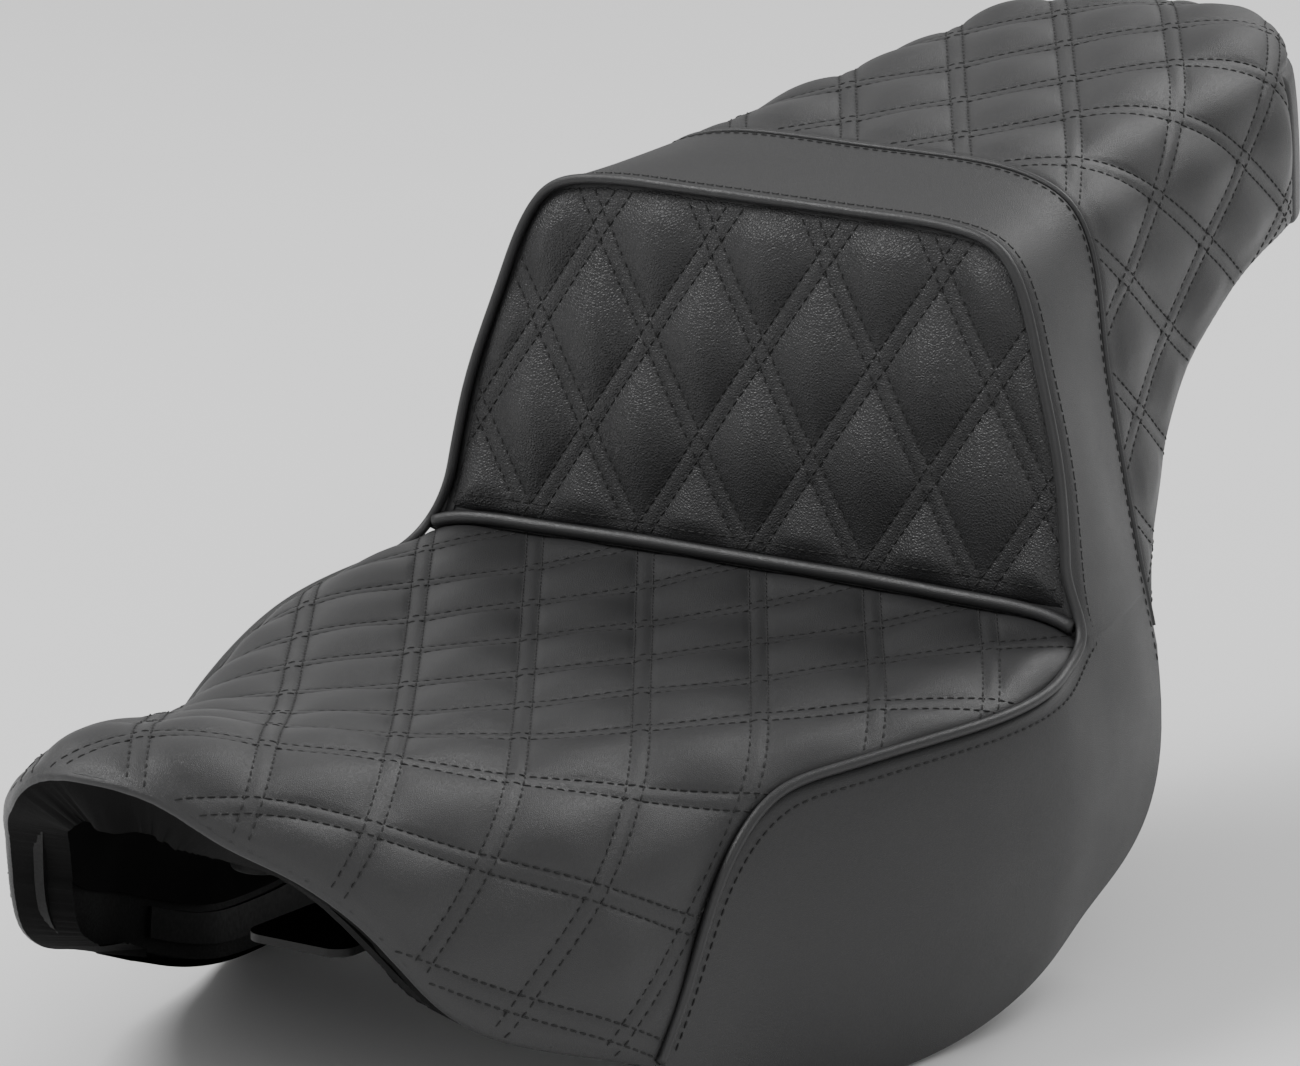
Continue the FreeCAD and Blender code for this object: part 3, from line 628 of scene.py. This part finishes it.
def mottled(name, dark, light, scale, rough, metal=0.0, bump=0.0001, detail=4.0, specular=0.5):
    """Plain material with fine colour, gloss and surface unevenness."""
    material, tree, shader = new_material(name)
    place = add_node(tree, "ShaderNodeTexCoord").outputs["Object"]
    value = noise(tree, place, scale, detail)
    tree.links.new(colour_between(tree, value, dark, light), shader.inputs["Base Color"])
    tree.links.new(ramp(tree, value, rough - 0.07, rough + 0.07, 0.3, 0.7), shader.inputs["Roughness"])
    shader.inputs["Metallic"].default_value = metal
    shader.inputs["Specular IOR Level"].default_value = specular
    node = add_node(tree, "ShaderNodeBump", {"Height": noise(tree, place, scale * 5, 2.0), "Strength": 0.6,
                                             "Distance": bump})
    tree.links.new(node.outputs["Normal"], shader.inputs["Normal"])
    return material


QUILT_VINYL = vinyl("vinyl_fine_grain", (0.016, 0.016, 0.0165), (0.032, 0.032, 0.033), 0.48, 1500.0, 0.35)
PLAIN_VINYL = vinyl("vinyl_plain", (0.016, 0.016, 0.0165), (0.029, 0.029, 0.03), 0.5, 1500.0, 0.35)
BACK_VINYL = vinyl("vinyl_pebbled", (0.012, 0.012, 0.0125), (0.025, 0.025, 0.026), 0.45, 850.0, 1.0)
WELT_VINYL = vinyl("vinyl_welt", (0.014, 0.014, 0.0145), (0.028, 0.028, 0.029), 0.43, 1500.0, 0.3)
# Back of the covers on the turned-in edges: the cover's own back, darkened to near black as painted shade
# for the hollow under the seat.
BACKING_AND_PAINTED_SHADE = mottled("cover_backing_painted_shade", grey(0.002), grey(0.005), 1500.0, 0.9, bump=0.0003, specular=0.1)
THREAD = mottled("thread", grey(0.004), grey(0.012), 1800.0, 0.7, bump=0.0002)
# The pan, felt liner, strips, bumpers and black steel are made near black, darker than their own colour, as
# painted shade for the hollow under the seat; rivets and screws keep their own colour.
CAD_LOOKS = {
    "pan_plastic": mottled("pan_plastic", grey(0.003), grey(0.006), 900.0, 0.6, specular=0.12),
    "felt": mottled("felt", grey(0.002), grey(0.006), 1400.0, 0.93, bump=0.0006, specular=0.1),
    "strip_plastic": mottled("strip_plastic", grey(0.004), grey(0.009), 500.0, 0.5, specular=0.12),
    "bumper_rubber": mottled("bumper_rubber", grey(0.006), grey(0.014), 700.0, 0.75),
    "black_steel": mottled("black_steel", grey(0.005), grey(0.011), 400.0, 0.45, specular=0.3),
    "rivet_steel": mottled("rivet_steel", (0.42, 0.42, 0.43), grey(0.6), 900.0, 0.34, 1.0, 0.00004),
    "screw_steel": mottled("screw_steel", (0.45, 0.45, 0.46), grey(0.62), 900.0, 0.3, 1.0, 0.00004),
}


# --- the three quilted panels -------------------------------------------------------------
SEAM_END = float(SEAM_LINE[np.argmin(abs(SEAM_LINE[:, 1] - edge_z(SEAM_LINE[:, 0]))), 0])
NOSE_YS = np.concatenate([np.arange(SEAM_END, NOSE_ROUND, -2.0),
                          np.linspace(NOSE_ROUND, NOSE_TIP + 0.01, 24)])


def rider_outline():
    """Outline of the rider cover in (s, y): rear edge, side seam, then the nose hem."""
    ys = np.concatenate([np.arange(RIDER_END, SEAM_END, -2.0), NOSE_YS])
    s = rider_skin.reach(ys, np.maximum(seam_z(ys), edge_z(ys)))
    return mirrored(np.vstack([[0, RIDER_END], np.column_stack([s, ys]), [0, NOSE_TIP]]))


def nose_hem_line():
    """Hem of the rider cover in (s, y), from the left seam round the nose to the right seam."""
    half = np.column_stack([rider_skin.reach(NOSE_YS, edge_z(NOSE_YS)), NOSE_YS])
    half = half[half[:, 0] > 2.0]
    line = np.vstack([half, [0, NOSE_TIP], half[::-1] * (-1, 1)])
    return smooth_line(line[::2], 1.5)


def passenger_hem_line():
    """Left hem of the passenger cover in (s, y)."""
    ys = np.arange(BAND_SEAM + SEAM_HALF, TAIL_SEAM, 2.0)
    return np.column_stack([rear_skin.reach(ys, edge_z(ys)), ys])


def back_outline():
    """Outline of the back panel in (x, z), just inside the perimeter welt."""
    half = smooth_line(REAR[0][1], 2.0)
    half = half[half[:, 1] > -4.0]
    tangent = unit(np.gradient(half, axis=0))
    inner = half + BACK_INSET * np.column_stack([tangent[:, 1], -tangent[:, 0]])
    inner[0, 0] = 0.0
    return mirrored(np.vstack([inner, [0, inner[-1, 1]]]))


def passenger_outline():
    """Outline of the passenger cover in (s, y)."""
    ends = np.array([TAIL_SEAM, TAIL_SEAM])
    corner = np.column_stack([rear_skin.reach(ends, np.array([edge_z(TAIL_SEAM), TAIL_RIM])), ends])
    ys = np.arange(TAIL_SEAM + 1, 320, 1.0)
    rim = np.column_stack([rear_skin.reach(ys, np.full(len(ys), TAIL_RIM)), ys])
    return mirrored(np.vstack([[0, BAND_SEAM + SEAM_HALF], passenger_hem_line(), corner, rim,
                               [rim[-1, 0] * 0.9, 320.0], [0, 320.0]]))


def front_face_y(z):
    """y of the back panel's front face."""
    foot_y, foot_z = FACE_FOOT
    return foot_y + (z - foot_z) * (LEAN * FACE_TOP - foot_y) / (FACE_TOP - foot_z)


def back_base(rows, x):
    """Front face of the back panel; its rows are heights. It bulges a little in the middle."""
    z = np.broadcast_to(rows[:, None], x.shape)
    crown = 3.0 * np.clip(1 - (x / 135.0) ** 2, 0, 1) * np.clip(1 - ((z - 62) / 78.0) ** 2, 0, 1)
    return np.stack([x, front_face_y(z) - 0.4 - crown, z], axis=-1)


def quilted(name, panel, material, nodes):
    """A quilted cover and its stitching, riding on the seat."""
    verts, faces, seam = panel.mesh()
    cover = new_object(name, verts, faces, material, seam)
    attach(cover, "seat")
    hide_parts(*nodes)
    thread(name + "_stitches", [stitch_mesh(*panel.stitch_rows())])


def thread(name, parts):
    """Rows of stitches as one piece."""
    verts, faces = joined(parts)
    obj = new_object(name, verts, faces, THREAD)
    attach(obj, "seat")


def trim(name, parts, material, nodes=()):
    """A plain piece of vinyl trim that rides on the seat."""
    verts, faces = joined(parts)
    obj = new_object(name, verts, faces, material)
    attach(obj, "seat")
    if nodes:
        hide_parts(*nodes)


rider = Panel(rider_outline(), rider_skin.points, lambda y: -y / RIDER_PITCH,
              height=3.0, fade=15.0, seed=SEED)
back = Panel(back_outline(), back_base, lambda z: (z + BACK_START) * DIAMOND_Y / BACK_DIAMOND_Y,
             height=4.6, fade=13.0, seed=SEED + 1)
passenger = Panel(passenger_outline(), rear_skin.points, lambda y: y - PASSENGER_START,
                  height=3.2, fade=15.0, seed=SEED + 2)
quilted("rider_panel", rider, QUILT_VINYL,
        ["rider_cover", "rider_foam", "rider_gel"])
quilted("back_panel", back, BACK_VINYL, ["back_cover", "back_foam"])
quilted("passenger_panel", passenger, QUILT_VINYL,
        ["passenger_cover", "passenger_foam", "passenger_gel"])


# --- skirts, band and tail ----------------------------------------------------------------
SIDE_HEIGHTS = np.linspace(-6, -150, 145)      # 1 mm apart, from the seams down past the lower edge
SIDE_KNOTS = [y for y, _ in RIDER if -300 < y < -10] + [y for y, _ in REAR if y < 100]
SIDE_WIDTHS = np.array([
    np.interp(-SIDE_HEIGHTS, -half[COUNT // 3:, 1], half[COUNT // 3:, 0])
    for skin in (rider_skin, rear_skin) for y, half in zip(skin.knots, skin.halves) if y in SIDE_KNOTS])


def skirt_points(ys, z):
    """Side surface at rows ys and heights z, for the left side (+X)."""
    widths = natural_spline(SIDE_KNOTS, SIDE_WIDTHS, ys)
    x = np.array([np.interp(-row, -SIDE_HEIGHTS, width) for row, width in zip(z, widths)])
    return np.stack([x, np.broadcast_to(ys[:, None], z.shape), z], axis=-1)


def skirt_top(ys):
    """Height at which the skirts' side surface starts."""
    return np.where(ys < 0, seam_z(ys), SKIRT_TOP)


skirt_ys = np.concatenate([np.arange(SKIRT_FRONT, -1.0, 2.0), np.linspace(0.0, BAND_SEAM - SEAM_HALF, 38)])
# Shares of the way down a skirt, closer together below the seam.
share = np.concatenate([[0.0, 0.01, 0.02, 0.035], np.linspace(0, 1, 60)[3:]])
top = skirt_top(skirt_ys)[:, None]
bottom = np.minimum(edge_z(skirt_ys)[:, None], top - 0.4)
skirt = skirt_points(skirt_ys, top + share * (bottom - top))
skirt_normals = unit(np.cross(np.gradient(skirt, axis=0), -np.gradient(skirt, axis=1)))
skirt_normals *= np.sign(skirt_normals[..., :1])
below_seam = np.where(skirt_ys[:, None] < 0, (top - skirt[..., 2]), 99.0)
skirt -= skirt_normals * dip(below_seam)[..., None]

band_ys = skirt_ys[skirt_ys >= 0]
reach = rear_skin.reach(band_ys, np.full(len(band_ys), SKIRT_TOP))
band_share = np.linspace(-1, 1, 221)
band = rear_skin.points(band_ys, reach[:, None] * band_share)
widen = skirt[skirt_ys >= 0, 0, 0] - band[:, -1, 0]
band[..., 0] += widen[:, None] * np.sign(band_share) * np.exp(-(band[..., 2] - SKIRT_TOP) / BAND_FADE)
band_normals = grid_normals(band)
ends = np.minimum(band_ys, BAND_SEAM - band_ys)[:, None]
fall = dip(ends, BAND_SINK) * np.clip((1 - abs(band_share)) / 0.05, 0, 1)
band -= band_normals * fall[..., None]

FLIP = np.array([-1.0, 1.0, 1.0])


def both_sides(points, faces):
    """A left-hand mesh and its mirror image."""
    return [(points, faces), (points * FLIP, [face[::-1] for face in faces])]


edge_run = unit(np.gradient(band[0], axis=0))
edge_in = np.column_stack([edge_run[:, 2], np.zeros(len(edge_run)), -edge_run[:, 0]])
flange = [band[0] + FLANGE * edge_in, band[0] + FLANGE_LIP * edge_in, band[0]]
for ring in flange[:2]:
    ring[:, 1] = front_face_y(ring[:, 2]) - FLANGE_LIFT
surround = [(band.reshape(-1, 3), strip_faces(*band.shape[:2])),
            (np.vstack(flange), strip_faces(3, len(band[0])))]
surround += both_sides(skirt.reshape(-1, 3), [f[::-1] for f in strip_faces(*skirt.shape[:2])])
bend, turned = hem(skirt[:, -1], skirt_normals[:, -1])
surround += both_sides(*bend)
turned_edges = both_sides(*turned)
trim("surround_panel", surround, PLAIN_VINYL, ["surround_cover"])


def tail_rows(heights):
    """Rows round the tail, from the left seam over the end to the right seam."""
    ys = np.array([TAIL_SEAM, 276, 284, 292, 300, 306, 313, 318, 320])
    sections, _ = rear_skin.rows(ys)
    rows = []
    for z in heights:
        half = [(np.interp(-z, -section[:, 1], section[:, 0]), y)
                for section, y in zip(sections, ys)]
        line = smooth_line(half + [(0.0, 321.0)] + [(-x, y) for x, y in half[::-1]], 2.0)
        line = smooth_line(line, arc_lengths(line)[-1] / TAIL_POINTS)
        rows.append(np.column_stack([line, np.full(len(line), z)])[:TAIL_POINTS])
    return np.array(rows)


tail_low = float(edge_z(290.0))
tail = tail_rows(np.linspace(TAIL_RIM, tail_low, 30))
tail_normals = unit(np.cross(np.gradient(tail, axis=0), np.gradient(tail, axis=1)))
tail_normals *= np.sign(tail_normals[0, TAIL_POINTS // 2, 1])
column = np.arange(TAIL_POINTS)
from_edge = np.minimum(TAIL_RIM - tail[..., 2], TAIL_SPACING * np.minimum(column, column[::-1]))
tail -= tail_normals * dip(from_edge)[..., None]
bend, turned = hem(tail[-1], tail_normals[-1])
turned_edges.append(turned)
trim("tail_panel", [(tail.reshape(-1, 3), strip_faces(*tail.shape[:2])), bend],
     PLAIN_VINYL, ["tail_cover"])


def panel_hem(panel, plane, depth):
    """Hem of a quilted panel along a line of its own plane."""
    return hem(panel.sample(panel.points, plane), unit(panel.sample(panel.normals, plane)), depth)


bend, turned = panel_hem(passenger, passenger_hem_line(), HEM_DEPTH)
hems = both_sides(*bend)
turned_edges += both_sides(*turned)
bend, turned = panel_hem(rider, nose_hem_line(), NOSE_DEPTH)
trim("cover_hems", hems + [bend], QUILT_VINYL)
trim("turned_in_edges", turned_edges + [turned], BACKING_AND_PAINTED_SHADE)


# --- welts --------------------------------------------------------------------------------
def on_side(ys, heights, lift):
    """Points of the left side surface at heights, raised by lift, with their normals."""
    z = np.column_stack([heights + 0.5, heights, heights - 0.5])
    around = skirt_points(ys, z)
    normals = unit(np.cross(around[:, 2] - around[:, 0], np.gradient(around[:, 1], axis=0)))
    normals *= np.sign(normals[:, :1])
    return around[:, 1] + lift * normals, normals


def skin_line(skin, y, s):
    """Line at one y over a skin, with normals."""
    rows = np.array([y - 0.5, y, y + 0.5])
    grid = skin.points(rows, np.tile(s, (3, 1)))
    return grid[1], grid_normals(grid)[1]


def over_the_top(left):
    """A left-hand line carried over to the right side."""
    left = left[left[:, 0] > 0.01]
    return np.vstack([left, left[::-1] * FLIP])


seam_ys = np.arange(SKIRT_FRONT - 1.0, -20.0, 6.0)
piping_side, _ = on_side(seam_ys, seam_z(seam_ys), 0.9)
outline = smooth_line(REAR[0][1], 8.0)
outline = outline[outline[:, 1] > 8][::-1]
piping_back = np.column_stack([outline[:, 0] - 1.2, front_face_y(outline[:, 1]) - 2.0, outline[:, 1] - 0.4])
piping_path = smooth_line(over_the_top(np.vstack([piping_side, [PIPING_TURN], piping_back])), 2.0)


def welt_lips():
    """Seam allowance of the perimeter welt, where it leaves the back panel's edge."""
    ring = flange[1][flange[1][:, 2] < WELT_LIP_TOP]
    lips = []
    for side in (-1, 1):
        part = ring[np.sign(ring[:, 0]) == side]
        gaps = np.linalg.norm(part[:, None] - piping_path[None], axis=2)
        lips.append((np.vstack([part, piping_path[gaps.argmin(axis=1)]]), strip_faces(2, len(part))))
    return lips


def foot_lip():
    """Seam allowance behind the foot welt, from the rider cover up to the back panel."""
    x = np.linspace(-FOOT_LIP_HALF, FOOT_LIP_HALF, 120)
    section = rider_skin.rows(np.array([RIDER_END]))[0][0]
    upper = section[section[:, 1] > -30]       # lower down the section turns back inwards
    z = np.interp(abs(x), upper[:, 0], upper[:, 1])
    top_z = z + FOOT_LIP_RISE
    low = np.column_stack([x, np.full(len(x), RIDER_END), z - 1.2])
    high = np.column_stack([x, front_face_y(top_z) + 0.4, top_z])
    return np.vstack([low, high]), strip_faces(2, len(x))


trim("perimeter_welt", [tube(piping_path, PIPING_R, 14)] + welt_lips(), WELT_VINYL,
     ["perimeter_piping"])

foot_half = np.array(FOOT_LINE)
foot_y = FACE_FOOT[0] - ROLL_R - 0.6
foot_left = np.column_stack([foot_half[:, 0], np.full(len(foot_half), foot_y), foot_half[:, 1] + ROLL_R])
foot_path = smooth_line(over_the_top(foot_left), 2.0)
trim("foot_welt", [tube(foot_path, ROLL_R, 16), foot_lip()], WELT_VINYL, ["foot_roll"])

seam_row = np.array([BAND_SEAM])
seam_reach = rear_skin.reach(seam_row, edge_z(seam_row) + 5.0)[0]
welt_points, welt_normals = skin_line(rear_skin, BAND_SEAM, np.linspace(-seam_reach, seam_reach, 260))
welt_path = welt_points - 0.5 * welt_normals
trim("rear_welt", [tube(welt_path, REAR_WELT_R, 10)], WELT_VINYL, ["rear_seam_welt"])


# --- topstitching -------------------------------------------------------------------------
def seam_stitches():
    """Topstitching of the plain panels: outside the perimeter welt, and before the rear seam."""
    tangent = unit(np.gradient(SEAM_LINE, axis=0))
    line = SEAM_LINE + TOPSTITCH * np.column_stack([tangent[:, 1], -tangent[:, 0]])
    line = line[(line[:, 0] < 1.0) & (line[:, 1] > edge_z(line[:, 0]) + 3)][::8]
    side, side_normals = on_side(line[:, 0], line[:, 1], 0.05)
    y = TOPSTITCH - 0.5
    reach = rear_skin.reach(np.array([y]), np.array([SKIRT_TOP + 8]))[0]
    front, front_normals = skin_line(rear_skin, y, np.linspace(reach, -reach, 400))
    points = np.vstack([side, front[::4], side[::-1] * FLIP])
    normals = np.vstack([side_normals, front_normals[::4], side_normals[::-1] * FLIP])
    # The normals are scaled up so that a sharp turn of the surface gets points of its own.
    both = smooth_line(np.hstack([points, 20 * normals]), 1.0)
    rows = [stitch_mesh(*along_line(both[:, :3], both[:, 3:]))]
    y = BAND_SEAM - REAR_TOPSTITCH
    reach = rear_skin.reach(np.array([y]), np.array([edge_z(y) + 4]))[0]
    rows.append(stitch_mesh(*along_line(*skin_line(rear_skin, y, np.linspace(-reach, reach, 400)))))
    return rows


thread("seam_stitches", seam_stitches())
foot_x = np.linspace(-136, 136, 300)
foot_plane = np.column_stack([foot_x, np.full(len(foot_x), FOOT_TOPSTITCH)])
foot_points = back.sample(back.points, foot_plane)
foot_normals = back.sample(back.normals, foot_plane)
thread("foot_stitches", [stitch_mesh(*along_line(foot_points, foot_normals))])


# --- carried-over parts -------------------------------------------------------------------
slots = {part["node"]: part["material_slot"] for part in frame["record"]["subparts"]}
for node, obj in frame["nodes"].items():
    look = CAD_LOOKS.get(slots[node])
    if look:
        for place in obj.material_slots:
            place.material = look

# --- camera, light, floor -----------------------------------------------------------------
AZIMUTH = math.radians(34.5)
ELEVATION = math.radians(14.0)
DISTANCE = 3.2
LENS = 236.6
SHIFT_RIGHT = -0.0401      # camera offsets that put the foot of the back panel where it is seen
SHIFT_UP = 0.0060

away = Vector((math.sin(AZIMUTH) * math.cos(ELEVATION), -math.cos(AZIMUTH) * math.cos(ELEVATION),
               math.sin(ELEVATION)))
right = Vector((math.cos(AZIMUTH), math.sin(AZIMUTH), 0.0))
camera = bpy.data.objects.new("camera", bpy.data.cameras.new("camera"))
camera.data.lens = LENS
camera.data.sensor_width = 36.0
camera.data.clip_end = 60.0
camera.location = (Vector((0, FOOT_Y, FOOT_Z)) + away * DISTANCE + right * SHIFT_RIGHT
                   + away.cross(right) * SHIFT_UP)
camera.rotation_euler = away.to_track_quat("Z", "Y").to_euler()
bpy.context.scene.collection.objects.link(camera)
bpy.context.scene.camera = camera


def area_light(name, place, size, watts):
    """Soft square light that faces the seat."""
    light = bpy.data.lights.new(name, "AREA")
    light.energy = watts
    light.size = size
    obj = bpy.data.objects.new(name, light)
    obj.location = place
    obj.rotation_euler = (Vector(place) - Vector((0, 0, 0.15))).to_track_quat("Z", "Y").to_euler()
    bpy.context.scene.collection.objects.link(obj)


area_light("key", (-1.6, -0.9, 2.6), 1.6, 75.0)
area_light("fill", (2.6, -2.0, 1.6), 2.2, 22.0)
area_light("rim", (0.4, 2.4, 2.2), 1.6, 40.0)

world = bpy.data.worlds.new("world")
world.use_nodes = True
world.node_tree.nodes["Background"].inputs["Color"].default_value = (1, 1, 1, 1)
world.node_tree.nodes["Background"].inputs["Strength"].default_value = 0.6
bpy.context.scene.world = world

floor_mesh = bpy.data.meshes.new("floor")
floor_mesh.from_pydata([(-12, -12, 0), (12, -12, 0), (12, 12, 0), (-12, 12, 0)], [], [(0, 1, 2, 3)])
floor_mesh.materials.append(mottled("floor", grey(0.86), grey(0.89), 3.0, 0.8, bump=0.00001))
floor = bpy.data.objects.new("floor", floor_mesh)
floor.location.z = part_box("surround_cover")[0][2] - 0.003
bpy.context.scene.collection.objects.link(floor)
